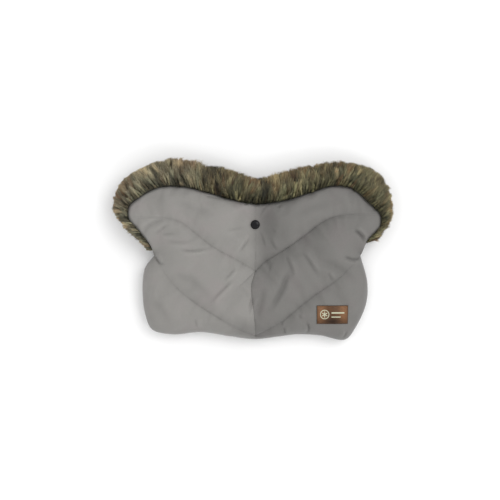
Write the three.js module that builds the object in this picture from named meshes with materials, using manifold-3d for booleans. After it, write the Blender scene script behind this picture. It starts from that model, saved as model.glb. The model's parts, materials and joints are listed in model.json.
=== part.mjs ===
// Padded hand muff for a stroller handlebar, lying on its back with its press stud closed.
// Millimetres. +X runs along the handlebar, +Y towards the fur edge, +Z out of the front.
import * as THREE from "three";
import { mergeVertices } from "three/addons/utils/BufferGeometryUtils.js";
import Module from "manifold-3d";

const wasm = await Module();
wasm.setup();

// Driving dimensions
const CENTRE_X = 5; // the centre seam
const FOLD_Y = -12; // the fold line between the notches, where the front flap opens
const FOLD_CLEARANCE = 0.4;
const NECK_Y = 83.5;
const SEAM_Z = 18; // height of the sewn edge of the pouch
const OPEN_EDGE_Z = 49; // front surface along the fur edge
const CROWN_Z = 60; // front surface at the centre seam
const CROWN_FALL = 0.055; // how fast it falls to each side
const CLOSED_ROUNDING = 46; // how far in from the sewn edge the front reaches full height
const OPEN_ROUNDING = 60;
const BACK_ROUNDING = 28;
const SHELL = 1.2; // outer fabric
const LINING = 1.5; // fleece
const WADDING = 6.5;
const WADDING_EDGE = 1; // wadding in a seam or under the press stud
const WADDING_OPEN = 3; // wadding along the fur edge
const LAYER_GAP = 0.6;
const PANEL_GAP = 0.3; // between two panels at a seam
const SNAP = { x: CENTRE_X, y: 45, backZ: 25, flat: 14.5, frontReach: 42, backReach: 27 };
const SNAP_CAP_RADIUS = 8.5;
const SNAP_HOLE_RADIUS = 2.4;
const SNAP_SHANK_RADIUS = 1.6;
const FUR_GAP = 0.6;
const FUR_THICKNESS = 12; // half the depth of the pile
const BACK_FUR_TOP = 16;
const LABEL = { x: 147, y: -121, width: 58, height: 34, thickness: 1.2 };

const COLOURS = {
  left: 0x95948f,
  right: 0x7d7c77,
  back: 0x77756f,
  wadding: 0xe9e7e0,
  fleece: 0x8b8982,
  fur: 0x6e604a,
  snap: 0x111111,
  steel: 0x9a9a9a,
  label: 0x5a3a26,
};

// Outlines. Each curve is asked for by the number of its control point, so 4.5 is halfway from the fifth to the sixth.
function spline(points) {
  const curve = new THREE.CatmullRomCurve3(
    points.map(([x, y]) => new THREE.Vector3(x, y, 0)),
    false,
    "centripetal",
  );
  const last = points.length - 1;
  return (position) => curve.getPoint(THREE.MathUtils.clamp(position / last, 0, 1));
}

const closedPoints = [
  [-183, FOLD_Y], // left notch
  [-200, -34],
  [-205, -70],
  [-200, -122],
  [-187, -150], // lower left corner
  [-150, -159],
  [-95, -155],
  [-40, -163],
  [CENTRE_X, -168],
  [42, -164],
  [83, -159],
  [125, -161],
  [173, -168.5], // lower right corner
  [194, -143],
  [212, -101],
  [214, -62],
  [201, FOLD_Y], // right notch
];
const openPoints = [
  [-183, FOLD_Y], // left notch
  [-188, 4],
  [-208, 31],
  [-229, 57], // left wing tip
  [-228, 77],
  [-212, 93],
  [-174, 113],
  [-128, 115],
  [-80, 103],
  [-36, 90],
  [CENTRE_X, NECK_Y],
  [58, 89],
  [104, 103],
  [148, 116],
  [184, 111],
  [212, 87],
  [235, 64], // right wing tip
  [236, 42],
  [213, 16],
  [201, FOLD_Y], // right notch
];
const furPoints = [
  [-189, -9],
  [-206, 8],
  [-235, 41],
  [-257, 69],
  [-260, 99],
  [-241, 134],
  [-199, 157],
  [-143, 169],
  [-90, 158],
  [-38, 145],
  [13, 130],
  [64, 145],
  [112, 156],
  [164, 162],
  [208, 153],
  [246, 127],
  [260, 86],
  [256, 58],
  [235, 26],
  [208, -9],
];
const closedEdge = spline(closedPoints);
const openEdge = spline(openPoints);
const furEdge = spline(furPoints);
const CORNER = { left: 4, right: 12, bottom: 8, end: 16 }; // control points of the closed edge
const TIP = { left: 3, right: 16 }; // control points of the open edge at the wing tips, where the upper V seam ends
const SHOULDER = { left: 5, right: 15 };
const NECK = 10;
const OPEN_END = 19;

// The two V seams of each side, from the centre seam outwards
const seams = {
  left: {
    notch: [-183, FOLD_Y],
    cross: [-46, FOLD_Y],
    upper: [[-46, FOLD_Y], [-74, 4], [-105, 28], [-131, 48], [-163, 57], [-229, 57]],
    lower: [[CENTRE_X, -160], [-35, -143], [-70, -123], [-105, -100], [-145, -67], [-183, FOLD_Y]],
  },
  right: {
    notch: [201, FOLD_Y],
    cross: [43, FOLD_Y],
    upper: [[43, FOLD_Y], [64, 4], [102, 28], [126, 46], [158, 61], [235, 64]],
    lower: [[CENTRE_X, -160], [55, -133], [87, -107], [120, -82], [160, -54], [201, FOLD_Y]],
  },
};
const UPPER_APEX = [CENTRE_X, -41];
const LOWER_APEX = [CENTRE_X, -160];

// Curves as functions of 0 to 1
const point = ([x, y]) => new THREE.Vector3(x, y, 0);
const line = (a, b) => (s) => point(a).lerp(point(b), s);
const stretch = (curve, from, to) => (s) => curve(from + (to - from) * s);
const chain = (first, second, join) => (s) =>
  s <= join ? first(s / join) : second((s - join) / (1 - join));
const spot = (at) => () => point(at);

// A four-sided patch filled in from its edges, as rows of points
function patch({ bottom, top, left, right, us, vs }) {
  const corner = [bottom(0), bottom(1), top(0), top(1)];
  return vs.map((v) =>
    us.map((u) => {
      const across = bottom(u).multiplyScalar(1 - v).addScaledVector(top(u), v);
      const along = left(v).multiplyScalar(1 - u).addScaledVector(right(v), u);
      const flat = corner[0].clone().multiplyScalar((1 - u) * (1 - v));
      flat.addScaledVector(corner[1], u * (1 - v));
      flat.addScaledVector(corner[2], (1 - u) * v);
      flat.addScaledVector(corner[3], u * v);
      return across.add(along).sub(flat);
    }),
  );
}

// Distances to the edges, for the puffed surfaces
function sampled(curve, last) {
  const points = [];
  for (let i = 0; i <= last * 5; i++) points.push(curve(i / 5));
  return points;
}
const closedLine = sampled(closedEdge, CORNER.end);
const openLine = sampled(openEdge, OPEN_END);

function distanceTo(points, x, y) {
  const here = new THREE.Vector3(x, y, 0);
  const nearest = new THREE.Vector3();
  let best = Infinity;
  for (let i = 1; i < points.length; i++) {
    new THREE.Line3(points[i - 1], points[i]).closestPointToPoint(here, true, nearest);
    best = Math.min(best, nearest.distanceTo(here));
  }
  return best;
}

// 0 at the edge, rising as a quarter circle to 1
function rounded(distance, reach) {
  const t = Math.min(distance / reach, 1);
  return Math.sqrt(1 - (1 - t) ** 2);
}

// 1 under the press stud, 0 beyond its reach
function pinch(x, y, reach) {
  const r = Math.hypot(x - SNAP.x, y - SNAP.y);
  const t = THREE.MathUtils.clamp((reach - r) / (reach - SNAP.flat), 0, 1);
  return t * t * (3 - 2 * t);
}

// Stacks of shell, wadding and lining
function wadding(x, y) {
  const closed = rounded(distanceTo(closedLine, x, y), BACK_ROUNDING);
  const open = rounded(distanceTo(openLine, x, y), BACK_ROUNDING);
  const full = WADDING_OPEN + (WADDING - WADDING_OPEN) * open;
  const puffed = WADDING_EDGE + (full - WADDING_EDGE) * closed;
  return puffed + (WADDING_EDGE - puffed) * pinch(x, y, SNAP.backReach);
}
const THIN_STACK = SHELL + WADDING_EDGE + LINING + 2 * LAYER_GAP;
const SNAP_FRONT_Z = SNAP.backZ + 2 * THIN_STACK + 6.2; // the closed press stud holds the two stacks this far apart

function frontTop(x, y) {
  const edge = SEAM_Z + LAYER_GAP / 2 + THIN_STACK;
  const full = CROWN_Z - CROWN_FALL * Math.abs(x - CENTRE_X);
  const crown = OPEN_EDGE_Z + (full - OPEN_EDGE_Z) * rounded(distanceTo(openLine, x, y), OPEN_ROUNDING);
  const puffed = edge + (crown - edge) * rounded(distanceTo(closedLine, x, y), CLOSED_ROUNDING);
  return puffed + (SNAP_FRONT_Z - puffed) * pinch(x, y, SNAP.frontReach);
}

function backBottom(x, y) {
  const edge = SEAM_Z - LAYER_GAP / 2 - THIN_STACK;
  const raised = edge * (1 - rounded(distanceTo(closedLine, x, y), BACK_ROUNDING));
  return raised + (SNAP.backZ - raised) * pinch(x, y, SNAP.backReach);
}

const front = {
  shell: { top: frontTop, bottom: (x, y) => frontTop(x, y) - SHELL },
  wadding: {
    top: (x, y) => frontTop(x, y) - SHELL - LAYER_GAP,
    bottom: (x, y) => frontTop(x, y) - SHELL - LAYER_GAP - wadding(x, y),
  },
  lining: {
    top: (x, y) => frontTop(x, y) - SHELL - 2 * LAYER_GAP - wadding(x, y),
    bottom: (x, y) => frontTop(x, y) - SHELL - 2 * LAYER_GAP - wadding(x, y) - LINING,
  },
};
const back = {
  shell: { top: (x, y) => backBottom(x, y) + SHELL, bottom: backBottom },
  wadding: {
    top: (x, y) => backBottom(x, y) + SHELL + LAYER_GAP + wadding(x, y),
    bottom: (x, y) => backBottom(x, y) + SHELL + LAYER_GAP,
  },
  lining: {
    top: (x, y) => backBottom(x, y) + SHELL + 2 * LAYER_GAP + wadding(x, y) + LINING,
    bottom: (x, y) => backBottom(x, y) + SHELL + 2 * LAYER_GAP + wadding(x, y),
  },
};

// A closed geometry from vertices and triangles, turned to face outwards
function closedGeometry(vertices, triangles) {
  let volume = 0;
  for (const [a, b, c] of triangles) {
    volume += vertices[a].dot(vertices[b].clone().cross(vertices[c]));
  }
  const facing = volume < 0 ? triangles.map(([a, b, c]) => [a, c, b]) : triangles;
  const geometry = new THREE.BufferGeometry().setFromPoints(vertices);
  geometry.setIndex(facing.flat());
  geometry.computeVertexNormals();
  return geometry;
}

// One solid over a set of patches that share their edge points: a top, a bottom and a wall round the outside
function layer(grids, { top, bottom }) {
  const number = new Map();
  const flat = [];
  const faces = [];
  const indexOf = (p) => {
    const key = Math.round(p.x * 1000) + "," + Math.round(p.y * 1000);
    if (!number.has(key)) {
      number.set(key, flat.length);
      flat.push(p);
    }
    return number.get(key);
  };
  const addFace = (a, b, c) => {
    if (a === b || b === c || c === a) return;
    const [p, q, r] = [flat[a], flat[b], flat[c]];
    const area = (q.x - p.x) * (r.y - p.y) - (q.y - p.y) * (r.x - p.x);
    faces.push(area > 0 ? [a, b, c] : [a, c, b]);
  };
  for (const rows of grids) {
    for (let j = 1; j < rows.length; j++) {
      for (let i = 1; i < rows[j].length; i++) {
        const a = indexOf(rows[j - 1][i - 1]);
        const b = indexOf(rows[j - 1][i]);
        const c = indexOf(rows[j][i]);
        const d = indexOf(rows[j][i - 1]);
        addFace(a, b, c);
        addFace(a, c, d);
      }
    }
  }
  const count = flat.length;
  const vertices = flat.map((p) => new THREE.Vector3(p.x, p.y, top(p.x, p.y)));
  vertices.push(...flat.map((p) => new THREE.Vector3(p.x, p.y, bottom(p.x, p.y))));
  const used = new Set(faces.flatMap(([a, b, c]) => [a + "," + b, b + "," + c, c + "," + a]));
  const triangles = [];
  for (const [a, b, c] of faces) {
    triangles.push([a, b, c], [a + count, c + count, b + count]);
    for (const [from, to] of [[a, b], [b, c], [c, a]]) {
      if (used.has(to + "," + from)) continue;
      triangles.push([from, from + count, to + count], [from, to + count, to]);
    }
  }
  return closedGeometry(vertices, triangles);
}

// A patch drawn in a little at its rim, so that panels stop short of each other at a seam
function drawnIn(rows) {
  const lastRow = rows.length - 1;
  return rows.map((row, j) =>
    row.map((p, i) => {
      const lastColumn = row.length - 1;
      const inJ = THREE.MathUtils.clamp(j, 1, lastRow - 1);
      const inI = THREE.MathUtils.clamp(i, 1, lastColumn - 1);
      const inside = rows[inJ][inI];
      const reach = inside.distanceTo(p);
      return reach === 0 ? p.clone() : p.clone().lerp(inside, Math.min(PANEL_GAP / reach, 0.5));
    }),
  );
}

// Patches of the front, left and right of the centre seam
const armStops = [0, 0.14, 0.28, 0.42, 0.58, 0.78, 1];
const HINGE_SHARE = 0.2; // the share of an upper panel's lower edge that lies on the fold
const acrossUpper = [0, 0.045, 0.095, ...armStops.map((s) => HINGE_SHARE + (1 - HINGE_SHARE) * s)];
const neckStop = (y) => (y - FOLD_Y) / (NECK_Y - FOLD_Y);
const upUpper = [0, 0.17, 0.34, neckStop(36), neckStop(45), neckStop(54), 0.85, 1];
const fifths = [0, 0.2, 0.4, 0.6, 0.8, 1];
const sevenths = [0, 0.14, 0.28, 0.42, 0.56, 0.7, 0.85, 1];

function frontPatches(side) {
  const { notch, cross, upper, lower } = seams[side];
  const lift = ([x, y], by) => [x, y + by];
  const half = FOLD_CLEARANCE / 2;
  const arm = spline([lift(upper[0], half), ...upper.slice(1)]);
  const armLine = stretch(arm, 0, upper.length - 1);
  const lowerArm = spline([...lower.slice(0, -1), lift(notch, -half)]);
  const lowerLine = stretch(lowerArm, 0, lower.length - 1);
  const start = side === "left" ? 0 : OPEN_END;
  const foldUp = line([CENTRE_X, FOLD_Y + half], lift(cross, half));
  const wingEdge = (s) => {
    const p = stretch(openEdge, start, TIP[side])(s);
    return s === 0 ? point(lift(notch, half)) : p;
  };
  const sideStart = side === "left" ? 0 : CORNER.end;
  const sideEdge = (s) => {
    const p = stretch(closedEdge, CORNER[side], sideStart)(s);
    return s === 1 ? point(lift(notch, -half)) : p;
  };
  const foldDown = lift(cross, -half);
  return {
    upper: patch({
      bottom: chain(foldUp, armLine, HINGE_SHARE),
      top: stretch(openEdge, NECK, SHOULDER[side]),
      left: line([CENTRE_X, FOLD_Y + half], [CENTRE_X, NECK_Y]),
      right: stretch(openEdge, TIP[side], SHOULDER[side]),
      us: acrossUpper,
      vs: upUpper,
    }),
    wing: patch({
      bottom: line(lift(cross, half), lift(notch, half)),
      top: armLine,
      left: spot(lift(cross, half)),
      right: wingEdge,
      us: armStops,
      vs: fifths,
    }),
    toe: patch({
      bottom: line(UPPER_APEX, foldDown),
      top: line([CENTRE_X, FOLD_Y - half], foldDown),
      left: line(UPPER_APEX, [CENTRE_X, FOLD_Y - half]),
      right: spot(foldDown),
      us: sevenths,
      vs: [0, 0.5, 1],
    }),
    middle: patch({
      bottom: lowerLine,
      top: line(UPPER_APEX, foldDown),
      left: line(LOWER_APEX, UPPER_APEX),
      right: line(lift(notch, -half), foldDown),
      us: sevenths,
      vs: fifths,
    }),
    lower: patch({
      bottom: stretch(closedEdge, CORNER.bottom, CORNER[side]),
      top: lowerLine,
      left: line(closedPoints[CORNER.bottom], LOWER_APEX),
      right: sideEdge,
      us: sevenths,
      vs: fifths,
    }),
  };
}
const patches = { left: frontPatches("left"), right: frontPatches("right") };

// Patches of the back, below and above the line between the notches
function backHalf(side) {
  const fold = [CENTRE_X, FOLD_Y];
  const notch = side === "left" ? 0 : OPEN_END;
  const sideStart = side === "left" ? 0 : CORNER.end;
  return [
    patch({
      bottom: stretch(closedEdge, CORNER.bottom, CORNER[side]),
      top: line(fold, seams[side].notch),
      left: line(closedPoints[CORNER.bottom], fold),
      right: stretch(closedEdge, CORNER[side], sideStart),
      us: acrossUpper,
      vs: [0, 0.1, 0.28, 0.5, 0.75, 1],
    }),
    patch({
      bottom: line(fold, seams[side].notch),
      top: stretch(openEdge, NECK, SHOULDER[side]),
      left: line(fold, [CENTRE_X, NECK_Y]),
      right: stretch(openEdge, notch, SHOULDER[side]),
      us: acrossUpper,
      vs: upUpper,
    }),
  ];
}
const backPatches = [...backHalf("left"), ...backHalf("right")];

// Fur strips: a soft lens from the cloth edge out to the tips of the pile
const FUR_PROFILE = [
  [0, 0.25],
  [0.2, 0.75],
  [0.5, 1],
  [0.8, 0.75],
  [1, 0.15],
];

function furStrip(stops, span) {
  const vertices = [];
  for (const stop of stops) {
    const inner = openEdge(stop);
    const outer = furEdge(stop);
    const start = inner.clone().lerp(outer, FUR_GAP / inner.distanceTo(outer));
    const { low, high } = span(inner, inner.distanceTo(outer));
    const middle = (low + high) / 2;
    const half = (high - low) / 2;
    for (const [t, share] of FUR_PROFILE) vertices.push(start.clone().lerp(outer, t).setZ(middle + half * share));
    for (const [t, share] of FUR_PROFILE.toReversed()) {
      vertices.push(start.clone().lerp(outer, t).setZ(middle - half * share));
    }
  }
  const ring = 2 * FUR_PROFILE.length;
  const triangles = [];
  for (let s = 1; s < stops.length; s++) {
    for (let i = 0; i < ring; i++) {
      const a = (s - 1) * ring + i;
      const b = (s - 1) * ring + ((i + 1) % ring);
      triangles.push([a, b, b + ring], [a, b + ring, a + ring]);
    }
  }
  const end = (stops.length - 1) * ring;
  for (let i = 1; i < ring - 1; i++) {
    triangles.push([0, i + 1, i], [end, end + i, end + i + 1]);
  }
  return closedGeometry(vertices, triangles);
}

function frontFurSpan(inner, width) {
  const cloth = frontTop(inner.x, inner.y) - THIN_STACK / 2;
  const half = Math.min(FUR_THICKNESS, width * 0.25);
  const lift = (half / FUR_THICKNESS) * 3;
  return { low: cloth - half * 0.55 + lift, high: cloth + half * 0.9 + lift };
}

function backFurSpan(inner, width) {
  const low = backBottom(inner.x, inner.y) + 0.2;
  return { low, high: Math.min(low + 3 + width * 0.3, BACK_FUR_TOP + low * 0.2) };
}

// Control-point numbers at which the cloth edges have a vertex, so that fur and cloth keep their gap
const between = (from, to, stops) => stops.map((s) => from + (to - from) * s);
const rising = (a, b) => a - b;
const unique = (stops) => [...new Set(stops.map((s) => Math.round(s * 1e6) / 1e6))].sort(rising);
const topStops = ["left", "right"].flatMap((side) => between(NECK, SHOULDER[side], acrossUpper));
const frontStops = unique([
  ...between(0, TIP.left, fifths),
  ...between(TIP.left, SHOULDER.left, upUpper),
  ...topStops,
  ...between(TIP.right, SHOULDER.right, upUpper),
  ...between(OPEN_END, TIP.right, fifths),
]);
const backStops = unique([
  ...between(0, SHOULDER.left, upUpper),
  ...topStops,
  ...between(OPEN_END, SHOULDER.right, upUpper),
]);
const nearestStop = (stops, wanted) =>
  stops.reduce((best, s) => (Math.abs(s - wanted) < Math.abs(best - wanted) ? s : best));

// A run of stops, stopping short of its neighbour where the strip is pieced
function run(stops, from, to) {
  const PIECING_GAP = 0.012;
  const inside = stops.filter((s) => s > from + 1e-6 && s < to - 1e-6);
  const first = from > 0 ? from + PIECING_GAP : from + 0.02;
  const last = to < OPEN_END ? to - PIECING_GAP : to - 0.02;
  return [first, ...inside, last];
}

// Booleans
function toSolid(geometry) {
  const bare = geometry.clone();
  bare.deleteAttribute("normal");
  bare.deleteAttribute("uv");
  const merged = mergeVertices(bare, 1e-4);
  return new wasm.Manifold(
    new wasm.Mesh({
      numProp: 3,
      vertProperties: new Float32Array(merged.attributes.position.array),
      triVerts: new Uint32Array(merged.index.array),
    }),
  );
}

function toGeometry(solid) {
  const mesh = solid.getMesh();
  const positions = new Float32Array(mesh.numVert * 3);
  for (let i = 0; i < mesh.numVert; i++) {
    positions.set(mesh.vertProperties.subarray(i * mesh.numProp, i * mesh.numProp + 3), i * 3);
  }
  const geometry = new THREE.BufferGeometry();
  geometry.setAttribute("position", new THREE.BufferAttribute(positions, 3));
  geometry.setIndex(new THREE.BufferAttribute(new Uint32Array(mesh.triVerts), 1));
  geometry.computeVertexNormals();
  return geometry;
}

const punch = new THREE.CylinderGeometry(SNAP_HOLE_RADIUS, SNAP_HOLE_RADIUS, 120, 16);
punch.rotateX(Math.PI / 2).translate(SNAP.x, SNAP.y, 0);
const punched = (geometry) => toGeometry(toSolid(geometry).subtract(toSolid(punch)));

// Press stud pieces, turned about a vertical axis through the snap
function turned(profile, segments = 24) {
  const points = profile.map(([r, z]) => new THREE.Vector2(r, z));
  const geometry = new THREE.LatheGeometry(points, segments);
  geometry.rotateX(Math.PI / 2);
  geometry.translate(SNAP.x, SNAP.y, 0);
  const bare = geometry.clone();
  bare.deleteAttribute("normal");
  bare.deleteAttribute("uv");
  const merged = mergeVertices(bare, 1e-4);
  const vertices = [];
  for (let i = 0; i < merged.attributes.position.count; i++) {
    vertices.push(new THREE.Vector3().fromBufferAttribute(merged.attributes.position, i));
  }
  const index = merged.index.array;
  const triangles = [];
  for (let i = 0; i < index.length; i += 3) {
    const [a, b, c] = [index[i], index[i + 1], index[i + 2]];
    if (a !== b && b !== c && c !== a) triangles.push([a, b, c]);
  }
  return closedGeometry(vertices, triangles);
}

function snapCap() {
  const seat = SNAP_FRONT_Z + LAYER_GAP;
  const shankEnd = SNAP_FRONT_Z - THIN_STACK - 0.2;
  const dome = [];
  for (let i = 0; i <= 6; i++) {
    const angle = (i / 6) * (Math.PI / 2);
    dome.push([SNAP_CAP_RADIUS * Math.cos(angle), seat + 0.9 + 3.1 * Math.sin(angle)]);
  }
  dome[6][0] = 0;
  return turned([
    [0, shankEnd],
    [SNAP_SHANK_RADIUS, shankEnd],
    [SNAP_SHANK_RADIUS, seat],
    [SNAP_CAP_RADIUS - 0.8, seat],
    ...dome,
  ]);
}

function snapSocket() {
  const top = SNAP_FRONT_Z - THIN_STACK - LAYER_GAP;
  const bottom = top - 3;
  const ceiling = top - 0.9;
  return turned([
    [0, ceiling],
    [3.7, ceiling],
    [3.9, bottom],
    [5.6, bottom],
    [6.3, bottom + 0.6],
    [6.3, top],
    [0, top],
  ]);
}

function snapStud() {
  const seat = SNAP.backZ + THIN_STACK + LAYER_GAP;
  const shankEnd = SNAP.backZ - 0.2;
  return turned([
    [0, shankEnd],
    [SNAP_SHANK_RADIUS, shankEnd],
    [SNAP_SHANK_RADIUS, seat],
    [5.6, seat],
    [6, seat + 0.5],
    [4.4, seat + 1.2],
    [1.8, seat + 1.3],
    [2.3, seat + 2.9],
    [1.6, seat + 3.6],
    [0, seat + 3.8],
  ]);
}

function snapRearCap() {
  const top = SNAP.backZ - LAYER_GAP;
  return turned([
    [0, top - 2.2],
    [3.5, top - 2],
    [5.6, top - 1.4],
    [6.5, top - 0.5],
    [6.1, top],
    [0, top],
  ]);
}

// Leatherette label, lying on the lower right panel
function labelPatch() {
  const { x, y, width, height, thickness } = LABEL;
  const steps = [0, 0.25, 0.5, 0.75, 1];
  const rows = steps.map((v) => steps.map((u) => new THREE.Vector3(x + (u - 0.5) * width, y + (v - 0.5) * height, 0)));
  return layer([rows], {
    top: (px, py) => frontTop(px, py) + LAYER_GAP + thickness,
    bottom: (px, py) => frontTop(px, py) + LAYER_GAP,
  });
}

// Assembly
function cloth(colour, roughness = 0.9) {
  return new THREE.MeshStandardMaterial({ color: colour, roughness, metalness: 0 });
}
const materials = {
  left: cloth(COLOURS.left, 0.75),
  right: cloth(COLOURS.right, 0.75),
  back: cloth(COLOURS.back, 0.75),
  wadding: cloth(COLOURS.wadding),
  fleece: cloth(COLOURS.fleece),
  fur: cloth(COLOURS.fur),
  snap: new THREE.MeshStandardMaterial({ color: COLOURS.snap, roughness: 0.15, metalness: 0.2 }),
  steel: new THREE.MeshStandardMaterial({ color: COLOURS.steel, roughness: 0.35, metalness: 0.9 }),
  label: cloth(COLOURS.label, 0.55),
};

const muff = new THREE.Group();
const frontFlap = new THREE.Group();
const pouch = new THREE.Group();
muff.add(frontFlap, pouch);

function add(group, name, geometry, material) {
  const mesh = new THREE.Mesh(geometry, materials[material]);
  mesh.name = name;
  group.add(mesh);
}

for (const side of ["left", "right"]) {
  const { upper, wing, toe, middle, lower } = patches[side];
  add(frontFlap, `upper_${side}_panel`, punched(layer([drawnIn(upper)], front.shell)), side);
  add(frontFlap, `${side}_wing_panel`, layer([drawnIn(wing)], front.shell), side);
  add(pouch, `upper_${side}_toe`, layer([drawnIn(toe)], front.shell), side);
  add(pouch, `middle_${side}_panel`, layer([drawnIn(middle)], front.shell), side);
  add(pouch, `lower_${side}_panel`, layer([drawnIn(lower)], front.shell), side);
}
const both = (...names) => ["left", "right"].flatMap((side) => names.map((name) => patches[side][name]));
const flapPatches = both("upper", "wing");
const pouchPatches = both("toe", "middle", "lower");
add(frontFlap, "front_padding_upper", punched(layer(flapPatches, front.wadding)), "wadding");
add(frontFlap, "front_lining_upper", punched(layer(flapPatches, front.lining)), "fleece");
add(pouch, "front_padding_lower", layer(pouchPatches, front.wadding), "wadding");
add(pouch, "front_lining_lower", layer(pouchPatches, front.lining), "fleece");
add(pouch, "back_shell", punched(layer(backPatches, back.shell)), "back");
add(pouch, "back_padding", punched(layer(backPatches, back.wadding)), "wadding");
add(pouch, "back_lining", punched(layer(backPatches, back.lining)), "fleece");

// The fur stops short of both notches
const LEFT_TAIL = 0.6;
const RIGHT_TAIL = 18.2;
const leftPiecing = nearestStop(frontStops, 8.5);
const rightPiecing = nearestStop(frontStops, 10.45);
const [frontStart, frontEnd] = [LEFT_TAIL, RIGHT_TAIL].map((stop) => nearestStop(frontStops, stop));
const [backStart, backEnd] = [LEFT_TAIL, RIGHT_TAIL].map((stop) => nearestStop(backStops, stop));
add(frontFlap, "front_fur_left", furStrip(run(frontStops, frontStart, leftPiecing), frontFurSpan), "fur");
add(frontFlap, "front_fur_centre", furStrip(run(frontStops, leftPiecing, rightPiecing), frontFurSpan), "fur");
add(frontFlap, "front_fur_right", furStrip(run(frontStops, rightPiecing, frontEnd), frontFurSpan), "fur");
add(pouch, "back_fur_left", furStrip(run(backStops, backStart, NECK), backFurSpan), "fur");
add(pouch, "back_fur_right", furStrip(run(backStops, NECK, backEnd), backFurSpan), "fur");

add(frontFlap, "snap_cap", snapCap(), "snap");
add(frontFlap, "snap_socket", snapSocket(), "steel");
add(pouch, "snap_stud", snapStud(), "steel");
add(pouch, "snap_rear_cap", snapRearCap(), "snap");
add(pouch, "label_patch", labelPatch(), "label");

export default muff;
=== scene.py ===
"""Looks of a padded hand muff for a stroller handlebar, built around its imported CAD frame.

Outlines, heights and sizes are in millimetres, and solid() turns them into metres. +X runs along the
handlebar, +Y towards the fur edge and +Z out of the front.
"""

import json
import math

import bpy
import numpy as np
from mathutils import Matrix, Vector


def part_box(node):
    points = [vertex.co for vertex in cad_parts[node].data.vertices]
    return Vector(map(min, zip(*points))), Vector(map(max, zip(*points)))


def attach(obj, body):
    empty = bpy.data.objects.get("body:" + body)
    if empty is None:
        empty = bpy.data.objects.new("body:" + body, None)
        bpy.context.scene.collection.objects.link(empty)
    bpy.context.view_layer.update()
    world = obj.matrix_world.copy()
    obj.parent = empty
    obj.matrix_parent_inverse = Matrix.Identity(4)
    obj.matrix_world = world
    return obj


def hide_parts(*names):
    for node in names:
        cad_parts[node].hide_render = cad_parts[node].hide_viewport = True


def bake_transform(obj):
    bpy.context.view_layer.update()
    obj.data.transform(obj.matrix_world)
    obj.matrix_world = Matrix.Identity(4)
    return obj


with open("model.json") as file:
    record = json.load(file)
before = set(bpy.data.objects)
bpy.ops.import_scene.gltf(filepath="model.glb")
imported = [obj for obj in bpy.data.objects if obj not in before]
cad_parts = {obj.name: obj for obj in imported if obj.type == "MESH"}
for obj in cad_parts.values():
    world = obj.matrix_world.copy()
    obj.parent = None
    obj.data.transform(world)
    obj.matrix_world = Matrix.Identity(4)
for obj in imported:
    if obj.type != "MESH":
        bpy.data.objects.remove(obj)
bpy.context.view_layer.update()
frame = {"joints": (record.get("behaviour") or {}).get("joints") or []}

# Driving dimensions, in millimetres
MM = 0.001
HINGE = np.array(frame["joints"][0]["pos_m"]) / MM
CENTRE_X = HINGE[0]
SEAM_Z = 18  # height of the sewn edge
OPEN_EDGE_Z = 49
CROWN_Z = 60
CROWN_FALL = 0.055  # how fast the front falls to each side of the centre seam
CLOSED_ROUNDING = 46
OPEN_ROUNDING = 60
BACK_ROUNDING = 28
SHELL = 1.2
LINING = 1.5
WADDING = 6.5
WADDING_EDGE = 1.6
WADDING_OPEN = 3
HEM = 9  # along the fur edge, how far in the wadding is full
INSET = 4.5  # how far inside the sewn edge the inner layers end
LAYER_GAP = 0.6
LOFT = 1.5  # room between the outer cloth and the coarser wadding
PANEL_GAP = 0.04
EDGE_ROLL = 4.5  # how far the cloth turns down into the fur
CAP_HEIGHT = 4.0
SNAP_FLAT = 9.5
FRONT_REACH = 46
BACK_TONE = 0.78
RIGHT_TONE = 0.68  # the right half's cloth against the left half's: painted shade, as if the right half were lit less
RELIEF_TONE = 0.07  # how much painted shade darkens the cloth for each millimetre down in a seam or a fold
SAG = 6  # how far the neck sinks round the press stud
SAG_REACH = 70
BACK_REACH = 27


def edges(node):
    """The lowest and highest corner of a CAD node, in millimetres."""
    low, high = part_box(node)
    return np.array(low) / MM, np.array(high) / MM


cap_low, cap_high = edges("snap_cap")
SNAP = (cap_low + cap_high)[:2] / 2
SNAP_FRONT_Z = cap_high[2] - CAP_HEIGHT - LAYER_GAP
SNAP_BACK_Z = edges("snap_rear_cap")[1][2] + LAYER_GAP


# Curves
class Curve:
    """A centripetal Catmull-Rom curve, asked for by the number of its control point."""

    def __init__(self, points):
        p = np.array(points, float)
        self.points = np.vstack([2 * p[0] - p[1], p, 2 * p[-1] - p[-2]])
        self.last = len(points) - 1

    def __call__(self, where):
        where = np.clip(np.atleast_1d(np.asarray(where, float)), 0, self.last)
        i = np.minimum(where.astype(int), self.last - 1)
        w = (where - i)[:, None]
        p0, p1, p2, p3 = (self.points[i + k] for k in range(4))
        d0, d1, d2 = (
            np.sqrt(np.linalg.norm(b - a, axis=1))[:, None] for a, b in ((p0, p1), (p1, p2), (p2, p3))
        )
        out = d1 * ((p1 - p0) / d0 - (p2 - p0) / (d0 + d1) + (p2 - p1) / d1)
        back = d1 * ((p2 - p1) / d1 - (p3 - p1) / (d1 + d2) + (p3 - p2) / d2)
        square = 3 * (p2 - p1) - 2 * out - back
        cube = 2 * (p1 - p2) + out + back
        return p1 + out * w + square * w**2 + cube * w**3

    def polyline(self, first, last, steps=4):
        """Points along a run of the curve, so many to each control point."""
        return self(np.linspace(first, last, round(abs(last - first) * steps) + 1))


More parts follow.
